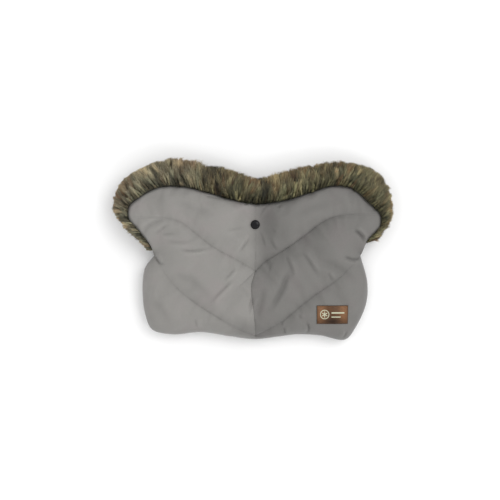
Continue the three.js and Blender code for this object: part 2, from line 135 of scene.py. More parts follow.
FOLD_Y = float(HINGE[1])
LEFT_NOTCH = (-183, FOLD_Y)
RIGHT_NOTCH = (201, FOLD_Y)
closed_edge = Curve([
    LEFT_NOTCH, (-200, -34), (-205, -70), (-200, -122), (-187, -150), (-150, -159), (-95, -155),
    (-40, -163), (CENTRE_X, -168), (42, -164), (83, -159), (125, -161), (173, -168.5), (194, -143),
    (212, -101), (214, -62), RIGHT_NOTCH,
])
open_edge = Curve([
    LEFT_NOTCH, (-188, 4), (-208, 31), (-229, 57), (-228, 77), (-212, 93), (-174, 113), (-128, 115),
    (-80, 103), (-36, 90), (CENTRE_X, 83.5), (58, 89), (104, 103), (148, 116), (184, 111), (212, 87),
    (235, 64), (236, 42), (213, 16), RIGHT_NOTCH,
])
fur_edge = Curve([
    (-189, -9), (-206, 8), (-235, 41), (-257, 69), (-260, 99), (-241, 134), (-199, 157), (-143, 169),
    (-90, 158), (-38, 145), (13, 130), (64, 145), (112, 156), (164, 162), (208, 153), (246, 127),
    (260, 86), (256, 58), (235, 26), (208, -9),
])
UPPER_APEX = (CENTRE_X, -41)
LOWER_APEX = (CENTRE_X, -160)
centre_seam = Curve([
    LOWER_APEX, (3.5, -130), (-1, -95), (-2.6, -69), (0.5, -55), UPPER_APEX,
])
# Control points where panels meet: corner and end of the closed edge, wing tip and shoulder of the open edge
SIDES = {
    "left": {
        "corner": 4, "closed_end": 0, "open_end": 0, "tip": 3, "shoulder": 5,
        "upper_seam": Curve([
            UPPER_APEX, (-27, -22), (-74, 4), (-105, 28), (-131, 48), (-163, 57), (-229, 57),
        ]),
        "lower_seam": Curve([
            LOWER_APEX, (-35, -143), (-70, -123), (-105, -100), (-145, -67), LEFT_NOTCH,
        ]),
    },
    "right": {
        "corner": 12, "closed_end": 16, "open_end": 19, "tip": 16, "shoulder": 15,
        "upper_seam": Curve([
            UPPER_APEX, (24, -24), (56, -4), (97, 25), (126, 47), (158, 61), (235, 64),
        ]),
        "lower_seam": Curve([
            LOWER_APEX, (55, -133), (87, -107), (120, -82), (160, -54), RIGHT_NOTCH,
        ]),
    },
}
POUCH_MIDDLE = (CENTRE_X, -60)
FLAP_MIDDLE = (CENTRE_X, 20)
CLOSED_BOTTOM = 8
NECK = 10
LEFT_TAIL, RIGHT_TAIL = 0.6, 18.2  # control points of the open edge between which there is fur


def nearest(xy, line):
    """Each point's distance to a polyline, its side (left of the travel is positive) and its way along."""
    best = np.full(len(xy), np.inf)
    side = np.ones(len(xy))
    along = np.zeros(len(xy))
    before = 0
    for a, b in zip(line[:-1], line[1:]):
        step = b - a
        length = math.hypot(*step)
        from_a = xy - a
        t = np.clip(from_a @ step / length**2, 0, 1)
        gap = from_a - t[:, None] * step
        distance = np.hypot(gap[:, 0], gap[:, 1])
        closer = distance < best
        best[closer] = distance[closer]
        side[closer] = np.sign(step[0] * gap[:, 1] - step[1] * gap[:, 0])[closer]
        along[closer] = (before + t * length)[closer]
        before += length
    return best, side, along


def length_of(line):
    return float(np.linalg.norm(np.diff(line, axis=0), axis=1).sum())


# Smooth functions
def step(t):
    t = np.clip(t, 0, 1)
    return t * t * (3 - 2 * t)


def rounded(t):
    """0 at the edge, rising as a quarter circle to 1."""
    return np.sqrt(1 - (1 - np.clip(t, 0, 1)) ** 2)


def bell(d, width):
    return np.exp(-((d / width) ** 2))


def noise(x, y, size, seed):
    """Smooth noise from -1 to 1 with bumps of about the given size."""
    table = np.random.default_rng(seed).uniform(-1, 1, (64, 64))
    u, v = np.asarray(x) / size, np.asarray(y) / size
    i, j = np.floor(u).astype(int), np.floor(v).astype(int)
    s, t = step(u - i), step(v - j)
    a, b = table[i % 64, j % 64], table[(i + 1) % 64, j % 64]
    c, d = table[i % 64, (j + 1) % 64], table[(i + 1) % 64, (j + 1) % 64]
    return (a * (1 - s) + b * s) * (1 - t) + (c * (1 - s) + d * s) * t


# The front's shape: seams, folds and creases
closed_line = closed_edge.polyline(0, closed_edge.last, 9)
open_line = open_edge.polyline(0, open_edge.last, 9)
CHORD = 0.15  # how far the curves bow out from these lines


def within(xy, line):
    """How far inside an edge line each point lies."""
    return np.maximum(nearest(xy, line)[0] - CHORD, 0)


# A seam: its line, the depth of its valley, how wide that is on its left and on its right, and its fade
SEAMS = [
    (SIDES["left"]["upper_seam"].polyline(0, 6), 2.0, 6.0, 5.0, 110),
    (SIDES["right"]["upper_seam"].polyline(0, 6), 5.4, 3.6, 26.0, 110),
    (SIDES["left"]["lower_seam"].polyline(0, 5), 2.6, 4.0, 8.0, 150),
    (SIDES["right"]["lower_seam"].polyline(0, 5), 3.4, 5.0, 11.0, 90),
    (centre_seam.polyline(0, 5), 1.8, 6.0, 2.4, 0),
    (np.array([UPPER_APEX, (CENTRE_X, 30.0)]), 1.2, 3.0, 5.0, 50),
    (np.array([(CENTRE_X, 60.0), (CENTRE_X, 83.5)]), 0.6, 3.0, 5.0, 0),
]

# A crease: depth and width of its valley, height of the ridge on its left (negative: right), and its line
CREASES = [
    # left half, round the press stud and along the centre
    (2.0, 3.0, -1.4, [(-2, 27), (-15, 7), (-29, -11)]),
    (1.6, 3.0, 1.1, [(-31, -34), (-42, -47), (-56, -61)]),
    (2.0, 3.4, 1.4, [(-35, -55), (-55, -76), (-72, -93), (-84, -106)]),
    (1.0, 3.0, 0.6, [(-13, 40), (-35, 36), (-55, 30)]),
    (2.2, 4.0, 1.2, [(0, -86), (-4, -107), (-8, -125)]),
    # left wing
    (1.2, 3.5, -0.8, [(-170, 25), (-155, 27), (-138, 26)]),
    (1.8, 3.2, -1.4, [(-138, -3), (-110, -4), (-88, -1), (-70, 4)]),
    (1.0, 4.0, -0.8, [(-162, 14), (-125, 12), (-105, 19)]),
    (1.2, 3.2, 0.9, [(-181, 25), (-168, 36), (-151, 49)]),
    (3.0, 3.4, 1.6, [(-183, -8), (-177, -19), (-170, -27), (-158, -27)]),
    (1.4, 5.0, 1.2, [(-205, 20), (-196, 38), (-172, 52), (-150, 57)]),
    # bottom and neckline
    (1.4, 3.0, 1.0, [(-106, -128), (-104, -138), (-101, -149)]),
    (1.2, 3.4, 0.4, [(-90, 100), (-70, 95), (-50, 92)]),
    # right half, round the press stud
    (2.4, 2.6, -1.4, [(13, 53), (16, 66), (22, 75), (29, 82)]),
    (2.6, 2.6, 1.6, [(11, 38), (16, 27), (20, 14), (24, 0)]),
    (1.2, 3.4, 0.8, [(31, 20), (39, 5), (48, -6)]),
    (1.0, 3.0, 0.6, [(35, 38), (39, 33), (42, 27)]),
    (1.2, 3.0, -0.8, [(46, 75), (49, 79), (54, 84)]),
    # folds under the right arm of the upper seam
    (1.2, 3.4, 0.8, [(31, -28), (31, -36), (29, -46)]),
    (2.2, 4.2, 1.4, [(58, -4), (67, -26), (73, -45), (70, -60)]),
    (2.0, 4.2, 1.4, [(87, 1), (104, -23), (119, -47), (128, -57)]),
    (3.2, 8.0, -1.0, [(74, -34), (62, -54), (54, -74), (40, -100), (22, -128)]),
    (1.6, 3.4, 1.2, [(138, -43), (143, -52), (149, -62)]),
    (2.6, 9.0, -1.2, [(21, -66), (14, -102), (8, -126), (3, -150)]),
    # right notch
    (3.6, 3.2, 2.0, [(186, 37), (198, 28), (204, 20), (208, 9)]),
    (3.0, 3.6, -1.6, [(166, -13), (183, -19), (194, -18), (206, -14)]),
    # lower right panel
    (1.6, 3.0, 1.0, [(54, -131), (54, -137), (53, -144)]),
    (1.8, 3.2, 1.2, [(57, -143), (59, -150), (61, -160)]),
    (2.4, 3.2, -1.6, [(97, -133), (103, -142), (103, -151), (97, -161)]),
    (1.2, 3.2, 0.8, [(85, -120), (88, -126), (91, -132)]),
    (1.8, 3.4, -1.2, [(174, -150), (171, -158), (167, -168)]),
    # soft folds across the panels
    (1.6, 11.0, 0.0, [(-150, -45), (-110, -60), (-60, -112)]),
    (1.4, 10.0, 0.0, [(-190, -90), (-165, -115), (-150, -150)]),
    (1.4, 12.0, 0.0, [(70, 60), (120, 78), (170, 88)]),
    (1.2, 11.0, 0.0, [(-150, 92), (-95, 70), (-50, 62)]),
    (1.6, 12.0, 0.0, [(120, -20), (160, -38), (196, -70)]),
]


def seam_shape(xy):
    """How far seams and creases lift or lower the front."""
    z = np.zeros(len(xy))
    for line, depth, left, right, fade in SEAMS:
        distance, side, along = nearest(xy, line)
        total = length_of(line)
        strength = step((total - along) / fade) if fade else 1.0
        pucker = 1 + 0.25 * noise(along, 0 * along, 9, 3)
        z -= strength * depth * pucker * np.exp(-distance / np.where(side > 0, left, right))
        z += strength * 0.42 * noise(along, distance * 0.25, 5.5, 4) * bell(distance - 5, 8)
    for depth, width, ridge, points in CREASES:
        line = Curve(points).polyline(0, len(points) - 1, 5)
        distance, side, along = nearest(xy, line)
        total = length_of(line)
        strength = step(along / (0.3 * total)) * step((total - along) / (0.5 * total))
        valley = -1.15 * depth * bell(distance, 0.7 * width)
        beside = abs(ridge) * bell(distance - 1.7 * width, 1.2 * width) * (side * ridge > 0)
        z += strength * (valley + beside)
    from_snap = xy - SNAP
    radius = np.linalg.norm(from_snap, axis=1)
    turn = np.arctan2(from_snap[:, 1], from_snap[:, 0])
    gathers = noise(9 * np.cos(turn), 9 * np.sin(turn), 3.6, 5)
    return z + 0.9 * gathers * bell(radius - 22, 15) * step(radius / 16)


def cloth_noise(xy):
    """Soft unevenness of padded cloth."""
    x, y = xy.T
    z = 1.3 * noise(x + 0.5 * y, y, 46, 11) + 0.55 * noise(x, y + 0.4 * x, 21, 12)
    z += 0.35 * noise(x - 0.6 * y, 0.5 * y, 9, 13) * (0.5 + 0.5 * noise(x, y, 60, 14))
    return z


def pinch(xy, reach):
    """1 under the press stud, 0 beyond its reach."""
    return step((reach - np.linalg.norm(xy - SNAP, axis=1)) / (reach - SNAP_FLAT))


# How far its wadding lifts the front cloth, on a grid of points, once the cloth has been simulated
PUFF_STEP = 4
PUFF_CAP = 6
PUFF_CORNER = np.array([-264.0, -184.0])
puff = np.zeros((134, 88))


def puff_at(xy):
    u, v = ((xy - PUFF_CORNER) / PUFF_STEP).T
    i, j = u.astype(int), v.astype(int)
    s, t = u - i, v - j
    low = puff[i, j] * (1 - s) + puff[i + 1, j] * s
    high = puff[i, j + 1] * (1 - s) + puff[i + 1, j + 1] * s
    return low * (1 - t) + high * t


def front_height(xy):
    """Top of the front cloth."""
    closed = within(xy, closed_line)
    open_ = within(xy, open_line)
    full = CROWN_Z - CROWN_FALL * np.abs(xy[:, 0] - CENTRE_X)
    crown = OPEN_EDGE_Z + (full - OPEN_EDGE_Z) * rounded(open_ / OPEN_ROUNDING)
    edge = SEAM_Z + SHELL + LAYER_GAP / 4
    z = edge + (crown - edge) * rounded(closed / CLOSED_ROUNDING)
    pinched = pinch(xy, FRONT_REACH)
    z += (seam_shape(xy) + cloth_noise(xy) + puff_at(xy)) * step(closed / 9) * (1 - pinched**2)
    z -= SAG * bell(np.linalg.norm(xy - SNAP, axis=1), SAG_REACH)
    z -= EDGE_ROLL * np.exp(-open_ / 2.6) * step(closed / 30)
    return z + (SNAP_FRONT_Z - z) * pinched


def front_tone(xy, side, part):
    """How light the front cloth is painted: painted shade darkens the right half, its seams and folds, the
    bottom by the centre and its rim.
    """
    x = xy[:, 0] - CENTRE_X
    # Painted shade: the right half is darker, as if lit less; on the upper panels it is darkest just right of
    # the centre, by the press stud.
    half = 1.0 if side == "left" else RIGHT_TONE
    if part == "upper":
        half = 1 - 0.44 * step((x + 17) / 40) + (RIGHT_TONE - 0.56) * step((x - 30) / 50)
    # Painted shade down in seams and folds, at the bottom by the centre and along the sewn rim.
    relief = seam_shape(xy) * (0.4 + 0.6 * step(np.abs(x) / 30))
    crease_shade = np.exp(RELIEF_TONE * relief).clip(0.55, 1.06)
    bottom_shade = 1 - 0.22 * bell(x + 12, 30) * step((-118 - xy[:, 1]) / 35)
    rim = 1 - 0.22 * np.exp(-within(xy, closed_line) / 9)
    return half * crease_shade * bottom_shade * rim


def back_height(xy):
    """Underside of the back cloth."""
    closed = within(xy, closed_line)
    raised = (SEAM_Z - SHELL - LAYER_GAP / 4) * (1 - rounded(closed / BACK_ROUNDING))
    x, y = xy.T
    raised = raised + 0.8 * np.clip(noise(x + y, y, 33, 21) + 0.3, 0, 1) * step(closed / 20)
    return raised + (SNAP_BACK_Z - raised) * pinch(xy, BACK_REACH)


def wadding(xy):
    """Thickness of the wadding, which thins out to nothing where shell and lining are sewn together."""
    closed = rounded(within(xy, closed_line) / BACK_ROUNDING)
    open_ = within(xy, open_line)
    full = WADDING_OPEN + (WADDING - WADDING_OPEN) * rounded(open_ / BACK_ROUNDING)
    full *= rounded(open_ / HEM)
    puffed = WADDING_EDGE + (full - WADDING_EDGE) * closed
    return puffed + (WADDING_EDGE - puffed) * pinch(xy, BACK_REACH)


# Patches of cloth
def spaced(count, bunching=0.55):
    """Steps from 0 to 1, closer together at both ends."""
    x = np.linspace(0, 1, count)
    return (1 - bunching) * x + bunching * (1 - np.cos(math.pi * x)) / 2


def patch(bottom, top, left, right, us, vs):
    """A four-sided patch filled in from its edges, as rows of points. Each edge is a function of 0 to 1."""
    u, v = us[None, :, None], vs[:, None, None]
    across = bottom(us)[None] * (1 - v) + top(us)[None] * v
    along = left(vs)[:, None] * (1 - u) + right(vs)[:, None] * u
    a, b, c, d = bottom([0])[0], bottom([1])[0], top([0])[0], top([1])[0]
    flat = (a * (1 - u) + b * u) * (1 - v) + (c * (1 - u) + d * u) * v
    return across + along - flat


def stretch(curve, first, last):
    return lambda s: curve(first + (last - first) * np.asarray(s, float))


def line(a, b):
    a, b = np.array(a, float), np.array(b, float)
    return lambda s: a + (b - a) * np.asarray(s, float)[:, None]


def front_patches(side, across, up):
    """The three cloth panels of one half of the front."""
    s = SIDES[side]
    upper_seam = stretch(s["upper_seam"], 0, s["upper_seam"].last)
    lower_seam = stretch(s["lower_seam"], 0, s["lower_seam"].last)
    outlines = {
        "upper": (
            upper_seam,
            stretch(open_edge, NECK, s["shoulder"]),
            line(UPPER_APEX, (CENTRE_X, open_edge(NECK)[0, 1])),
            stretch(open_edge, s["tip"], s["shoulder"]),
        ),
        "chevron": (
            lower_seam,
            upper_seam,
            stretch(centre_seam, 0, centre_seam.last),
            stretch(open_edge, s["open_end"], s["tip"]),
        ),
        "lower": (
            stretch(closed_edge, CLOSED_BOTTOM, s["corner"]),
            lower_seam,
            line(closed_edge(CLOSED_BOTTOM)[0], LOWER_APEX),
            stretch(closed_edge, s["corner"], s["closed_end"]),
        ),
    }
    return {part: patch(*outline, spaced(across), spaced(up)) for part, outline in outlines.items()}


def back_patches(side, across, up):
    """The back of one half, below and above the line between the notches."""
    s = SIDES[side]
    fold = (CENTRE_X, FOLD_Y)
    notch = LEFT_NOTCH if side == "left" else RIGHT_NOTCH
    outlines = [
        (
            stretch(closed_edge, CLOSED_BOTTOM, s["corner"]),
            line(fold, notch),
            line(closed_edge(CLOSED_BOTTOM)[0], fold),
            stretch(closed_edge, s["corner"], s["closed_end"]),
        ),
        (
            line(fold, notch),
            stretch(open_edge, NECK, s["shoulder"]),
            line(fold, (CENTRE_X, open_edge(NECK)[0, 1])),
            stretch(open_edge, s["open_end"], s["shoulder"]),
        ),
    ]
    return [patch(*outline, spaced(across), spaced(up)) for outline in outlines]


def drawn_in(grid, gap):
    """The patch with its rim moved in a little."""
    inner = grid.copy()
    inner[0], inner[-1] = grid[1], grid[-2]
    inner[:, 0], inner[:, -1] = inner[:, 1], inner[:, -2]
    way = inner - grid
    size = np.linalg.norm(way, axis=2, keepdims=True)
    share = np.minimum(gap / np.maximum(size, 1e-9), 0.5)
    return grid + way * share * (size > 0)


def inset(grids, line, middle):
    """Patches whose edge on a line is moved a little towards the middle."""
    moved = []
    for grid in grids:
        points = grid.reshape(-1, 2)
        way = np.array(middle) - points
        way /= np.linalg.norm(way, axis=1, keepdims=True)
        near = 1 - step(nearest(points, line)[0] / (4 * INSET))
        moved.append((points + way * (INSET * near)[:, None]).reshape(grid.shape))
    return moved


# Meshes
def solid(name, vertices, faces, material, **attributes):
    """A smooth-shaded mesh object from points in millimetres. Its attributes are given for each point."""
    mesh = bpy.data.meshes.new(name)
    mesh.from_pydata((np.asarray(vertices) * MM).tolist(), [], faces)
    mesh.validate()
    mesh.shade_smooth()
    rest = mesh.attributes.new("rest", "FLOAT_VECTOR", "POINT")
    rest.data.foreach_set("vector", (np.asarray(vertices, np.float32) * MM).ravel())
    for key, values in attributes.items():
        mesh.color_attributes.new(key, "FLOAT_COLOR", "POINT").data.foreach_set("color", values.ravel())
    mesh.materials.append(material)
    obj = bpy.data.objects.new(name, mesh)
    bpy.context.scene.collection.objects.link(obj)
    return obj


def joined(grids):
    """Patches that share their edge points as one surface: its points and its faces, all facing up."""
    points, quads, first = [], [], 0
    for grid in grids:
        rows, columns = grid.shape[:2]
        number = first + np.arange(rows * columns).reshape(rows, columns)
        corners = [number[:-1, :-1], number[:-1, 1:], number[1:, 1:], number[1:, :-1]]
        quads.append(np.stack(corners, -1).reshape(-1, 4))
        points.append(grid.reshape(-1, 2))
        first += rows * columns
    points, quads = np.vstack(points), np.vstack(quads)
    _, keep, merged = np.unique(np.round(points, 3), axis=0, return_index=True, return_inverse=True)
    points, quads = points[keep], merged.reshape(-1)[quads]
    a, b, c = (points[quads[:, k]] for k in range(3))
    turn = (b[:, 0] - a[:, 0]) * (c[:, 1] - a[:, 1]) - (b[:, 1] - a[:, 1]) * (c[:, 0] - a[:, 0])
    quads[turn < 0] = quads[turn < 0][:, ::-1]
    faces = []
    for quad in quads.tolist():
        face = [v for k, v in enumerate(quad) if v != quad[k - 1]]
        if len(face) > 2:
            faces.append(face)
    return points, faces


def layer(name, grids, top, bottom, material, tone=None):
    """One closed sheet over patches: a top, a bottom and a wall round its rim."""
    points, faces = joined(grids)
    used = {(face[k - 1], face[k]) for face in faces for k in range(len(face))}
    count = len(points)
    rim = [(p, q) for p, q in used if (q, p) not in used]
    under = [[v + count for v in reversed(face)] for face in faces]
    wall = [[q, p, p + count, q + count] for p, q in sorted(rim)]
    vertices = np.vstack([np.column_stack([points, top(points)]), np.column_stack([points, bottom(points)])])
    if tone is None:
        return solid(name, vertices, faces + under + wall, material)
    grey = np.repeat(np.tile(tone(points), 2)[:, None], 4, axis=1).astype(np.float32)
    return solid(name, vertices, faces + under + wall, material, tone=grey)


# Materials
class Shader:
    """A Principled material, built up node by node."""

    def __init__(self, name, **constants):
        self.material = bpy.data.materials.new(name)
        self.material.use_nodes = True
        self.nodes = self.material.node_tree.nodes
        self.surface = self.nodes["Principled BSDF"]
        for socket, value in constants.items():
            self.surface.inputs[socket.replace("_", " ")].default_value = value

    def node(self, kind, inputs=None, **settings):
        made = self.nodes.new("ShaderNode" + kind)
        for key, value in settings.items():
            setattr(made, key, value)
        for socket, value in (inputs or {}).items():
            if isinstance(value, bpy.types.NodeSocket):
                self.material.node_tree.links.new(value, made.inputs[socket])
            else:
                made.inputs[socket].default_value = value
        return made

    def place(self):
        """The place of a point when the piece is at rest, so that patterns stay on a piece that bends."""
        return self.node("Attribute", attribute_name="rest").outputs["Vector"]

    def noise(self, where, scale, detail=2.0, roughness=0.5):
        inputs = {"Vector": where, "Scale": scale, "Detail": detail, "Roughness": roughness}
        return self.node("TexNoise", inputs).outputs["Fac"]

    def waves(self, where, direction, period):
        """Bands across one axis, repeating after so many metres."""
        inputs = {"Vector": where, "Scale": 0.314 / period, "Distortion": 0.6, "Detail": 1.0}
        return self.node("TexWave", inputs, bands_direction=direction).outputs["Fac"]

    def math(self, operation, a, b):
        return self.node("Math", {0: a, 1: b}, operation=operation).outputs[0]

    def ramp(self, value, *stops):
        """Colours at positions from 0 to 1, as (position, colour)."""
        made = self.node("ValToRGB", {"Fac": value})
        elements = made.color_ramp.elements
        while len(elements) < len(stops):
            elements.new(0.5)
        for element, (position, colour) in zip(elements, stops):
            element.position, element.color = position, (*colour, 1)
        return made.outputs["Color"]

    def mix(self, share, a, b, blend="MIX"):
        return self.node("Mix", {0: share, 6: a, 7: b}, data_type="RGBA", blend_type=blend).outputs[2]

    def span(self, value, low, high):
        """A pattern from 0 to 1, brought into a range."""
        return self.node("MapRange", {"Value": value, "To Min": low, "To Max": high}).outputs[0]

    def bump(self, height, distance, strength=1.0, below=None):
        inputs = {"Height": height, "Distance": distance, "Strength": strength}
        if below is not None:
            inputs["Normal"] = below
        return self.node("Bump", inputs).outputs["Normal"]

    def finish(self, **links):
        for socket, value in links.items():
            self.material.node_tree.links.new(value, self.surface.inputs[socket.replace("_", " ")])
        return self.material


def cloth_material(name, colour, warm):
    """Smooth water-repellent plain weave with soft mottling, and with its tone given for each point, which
    carries painted shade.
    """
    s = Shader(name, Roughness=0.62, Sheen_Weight=0.25, Sheen_Roughness=0.5, Specular_IOR_Level=0.35)
    where = s.place()
    blotches = s.noise(where, 22, 3)
    base = s.ramp(blotches, (0.3, tuple(c * 0.95 for c in colour)), (0.5, colour), (0.7, warm))
    thread = s.math("MULTIPLY", s.waves(where, "X", 0.0007), s.waves(where, "Y", 0.0007))
    speckle = s.ramp(s.noise(where, 1800, 1), (0.3, (0.9, 0.9, 0.9)), (0.7, (1.08, 1.08, 1.08)))
    # The tone attribute carries painted shade.
    tone = s.node("Attribute", attribute_name="tone").outputs["Color"]
    shaded_weave = s.mix(1.0, s.mix(1.0, base, tone, "MULTIPLY"), speckle, "MULTIPLY")
    fine = s.bump(thread, 0.00012, 0.35)
    soft = s.bump(s.noise(where, 130, 4, 0.55), 0.0012, 0.22, fine)
    return s.finish(Base_Color=shaded_weave, Roughness=s.span(blotches, 0.56, 0.68), Normal=soft)


def fleece_material():
    s = Shader("fleece", Roughness=0.95, Sheen_Weight=0.6, Sheen_Roughness=0.6, Specular_IOR_Level=0.1)
    where = s.place()
    pile = s.noise(where, 700, 4, 0.7)
    tufts = s.noise(where, 90, 3)
    base = s.ramp(tufts, (0.3, (0.15, 0.145, 0.135)), (0.7, (0.25, 0.243, 0.228)))
    speckle = s.ramp(pile, (0.3, (0.72, 0.72, 0.72)), (0.7, (1.15, 1.15, 1.15)))
    coloured = s.mix(1.0, base, speckle, "MULTIPLY")
    return s.finish(Base_Color=coloured, Normal=s.bump(s.math("ADD", pile, tufts), 0.0016, 0.8))


def wadding_material():
    s = Shader("wadding", Roughness=0.95, Sheen_Weight=0.3)
    fibres = s.noise(s.place(), 260, 5, 0.7)
    base = s.ramp(fibres, (0.3, (0.62, 0.6, 0.56)), (0.7, (0.8, 0.78, 0.74)))
    return s.finish(Base_Color=base, Normal=s.bump(fibres, 0.002, 0.8))


def fur_material():
    s = Shader("faux_fur", Roughness=0.5, Specular_IOR_Level=0.35)
    pile = s.node("Attribute", attribute_name="pile").outputs["Color"]
    streak = s.ramp(s.noise(s.place(), 420, 3), (0.3, (0.8, 0.8, 0.8)), (0.7, (1.15, 1.12, 1.08)))
    return s.finish(Base_Color=s.mix(1.0, pile, streak, "MULTIPLY"))


def snap_material():
    s = Shader("snap_black", Coat_Weight=0.08, Coat_Roughness=0.05, Specular_IOR_Level=0.12)
    scuffs = s.noise(s.place(), 900, 3)
    base = s.ramp(scuffs, (0.35, (0.004, 0.004, 0.005)), (0.7, (0.008, 0.008, 0.009)))
    return s.finish(Base_Color=base, Roughness=s.span(scuffs, 0.1, 0.22), Normal=s.bump(scuffs, 0.00005, 0.3))


def steel_material():
    s = Shader("blackened_steel", Metallic=1.0)
    brushed = s.noise(s.place(), 1500, 4)
    base = s.ramp(brushed, (0.3, (0.12, 0.12, 0.125)), (0.7, (0.2, 0.2, 0.205)))
    scratches = s.bump(brushed, 0.00005, 0.4)
    return s.finish(Base_Color=base, Roughness=s.span(brushed, 0.28, 0.45), Normal=scratches)


def leather_material():
    """Copper-brown leatherette, brushed lengthways. The label's colours come from its points, with a painted
    copper sheen towards its ends and a painted shadow low in its middle.
    """
    s = Shader("leatherette", Specular_IOR_Level=0.15)
    where = s.place()
    tone = s.node("Attribute", attribute_name="pile").outputs["Color"]
    stretched = s.node("Mapping", {"Vector": where, "Scale": (0.12, 1.0, 1.0)}).outputs[0]
    brushed = s.ramp(s.noise(stretched, 1500, 4), (0.3, (0.7, 0.7, 0.7)), (0.7, (1.3, 1.26, 1.22)))
    grain = s.node("TexVoronoi", {"Vector": where, "Scale": 900.0}).outputs["Distance"]
    colour = s.mix(1.0, tone, brushed, "MULTIPLY")
    pores = s.bump(grain, 0.00015, 0.5)
    return s.finish(Base_Color=colour, Roughness=s.span(grain, 0.34, 0.52), Normal=pores)


def print_material():
    s = Shader("cream_print", Roughness=0.5)
    grain = s.noise(s.place(), 1400, 3)
    colour = s.ramp(grain, (0.3, (0.42, 0.42, 0.29)), (0.7, (0.54, 0.55, 0.4)))
    return s.finish(Base_Color=colour, Normal=s.bump(grain, 0.0001, 0.5))


cloth = cloth_material("outer_cloth", (0.224, 0.217, 0.204), (0.231, 0.216, 0.207))
fleece = fleece_material()
fibre = wadding_material()
fur = fur_material()
snap_black = snap_material()
steel = steel_material()
leather = leather_material()
cream = print_material()


def bend(obj):
    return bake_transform(obj)


def simulate_puff():
    """Let the wadding press out a coarse copy of the front cloth, sewn at its seams, and keep its lift."""
    points, faces = joined([grid for side in SIDES for grid in front_patches(side, 44, 30).values()])
    start = front_height(points)
    mesh = bpy.data.meshes.new("trial_cloth")
    mesh.from_pydata((np.column_stack([points, start]) * MM).tolist(), [], faces)
    obj = bpy.data.objects.new("trial_cloth", mesh)
    bpy.context.scene.collection.objects.link(obj)
    lines = [closed_line, open_line, *(seam[0] for seam in SEAMS[:5])]
    sewn = np.min([nearest(points, line)[0] for line in lines], axis=0) < 1
    sewn |= np.linalg.norm(points - SNAP, axis=1) < SNAP_FLAT
    pins = obj.vertex_groups.new(name="sewn")
    pins.add(np.flatnonzero(sewn).tolist(), 1.0, "REPLACE")
    cloth_sim = obj.modifiers.new("cloth", "CLOTH")
    settings = cloth_sim.settings
    settings.vertex_group_mass = "sewn"
    settings.mass = 0.3
    settings.tension_stiffness = settings.compression_stiffness = 15
    settings.shear_stiffness = 5
    settings.bending_stiffness = 0.8
    settings.shrink_min = -0.025
    settings.use_pressure = True
    settings.uniform_pressure_force = 2
    settings.effector_weights.gravity = 0
    cloth_sim.collision_settings.use_collision = False
    for number in range(1, 21):
        bpy.context.scene.frame_set(number)
    made = obj.evaluated_get(bpy.context.evaluated_depsgraph_get()).to_mesh()
    ended = np.zeros(len(points) * 3)
    made.vertices.foreach_get("co", ended)
    lift = np.clip(ended.reshape(-1, 3)[:, 2] / MM - start, -PUFF_CAP, PUFF_CAP)
    bpy.context.scene.frame_set(1)
    bpy.data.objects.remove(obj)
    total, weight = np.zeros(puff.shape), np.full(puff.shape, 1e-9)
    cell = np.round((points - PUFF_CORNER) / PUFF_STEP).astype(int)
    for shift in np.ndindex(5, 5):
        near = cell + np.array(shift) - 2
        share = bell(np.linalg.norm(points - PUFF_CORNER - near * PUFF_STEP, axis=1), PUFF_STEP)
        np.add.at(total, tuple(near.T), share * lift)
        np.add.at(weight, tuple(near.T), share)
    puff[:] = total / weight


# Front: six cloth panels, wadding and fleece
def make_front():
    soft = {side: front_patches(side, 44, 30) for side in SIDES}
    grids = inset([grid for side in soft.values() for grid in side.values()], closed_line, POUCH_MIDDLE)

    def wadding_top(p):
        around = [seam_shape(p + shift) for shift in 3 * np.array([(1, 0), (-1, 0), (0, 1), (0, -1)])]
        dip = np.maximum(seam_shape(p) - np.min(around, axis=0), 0)
        return front_height(p) - SHELL - LOFT - dip * step(within(p, closed_line) / 30)

    def fleece_top(p):
        loose = 2.2 * LOFT * rounded(within(p, open_line) / HEM)
        return front_height(p) - SHELL - 2 * LAYER_GAP - wadding(p) - loose

    padding = layer(
        "front_wadding", inset(grids, open_line, FLAP_MIDDLE), wadding_top,
        lambda p: front_height(p) - SHELL - LAYER_GAP - wadding(p) - 1.2 * LOFT, fibre,
    )
    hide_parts("front_padding_upper", "front_padding_lower")
    bend(padding)
    lining = layer("front_fleece", grids, fleece_top, lambda p: fleece_top(p) - LINING, fleece)
    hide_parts("front_lining_upper", "front_lining_lower")
    bend(lining)
    stands_for = {
        "upper": ["upper_{}_panel", "upper_{}_toe"],
        "chevron": ["{}_wing_panel", "middle_{}_panel"],
        "lower": ["lower_{}_panel"],
    }
    for side in SIDES:
        for part, grid in front_patches(side, 140, 96).items():
            grid = drawn_in(grid, PANEL_GAP)
            obj = layer(
                f"{part}_{side}_cloth", [grid], front_height, lambda p: front_height(p) - SHELL, cloth,
                lambda p: front_tone(p, side, part),
            )
            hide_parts(*(node.format(side) for node in stands_for[part]))
            if part == "lower":
                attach(obj, "pouch")
            else:
                bend(obj)


def make_back():
    def base(p):
        return back_height(p) + SHELL + LAYER_GAP

    fine = [grid for side in SIDES for grid in back_patches(side, 80, 50)]
    coarse = [grid for side in SIDES for grid in back_patches(side, 40, 28)]
    coarse = inset(inset(coarse, closed_line, POUCH_MIDDLE), open_line, FLAP_MIDDLE)
    inner = inset(fine, closed_line, POUCH_MIDDLE)
    shell = layer(
        "back_cloth", fine, lambda p: back_height(p) + SHELL, back_height, cloth,
        lambda p: np.full(len(p), BACK_TONE),
    )
    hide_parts("back_shell")
    padding = layer("back_wadding", coarse, lambda p: base(p) + wadding(p), base, fibre)
    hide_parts("back_padding")
    lining = layer(
        "back_fleece", inner, lambda p: base(p) + wadding(p) + LAYER_GAP + LINING,
        lambda p: base(p) + wadding(p) + LAYER_GAP, fleece,
    )
    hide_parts("back_lining")
    for obj in (shell, padding, lining):
        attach(obj, "pouch")


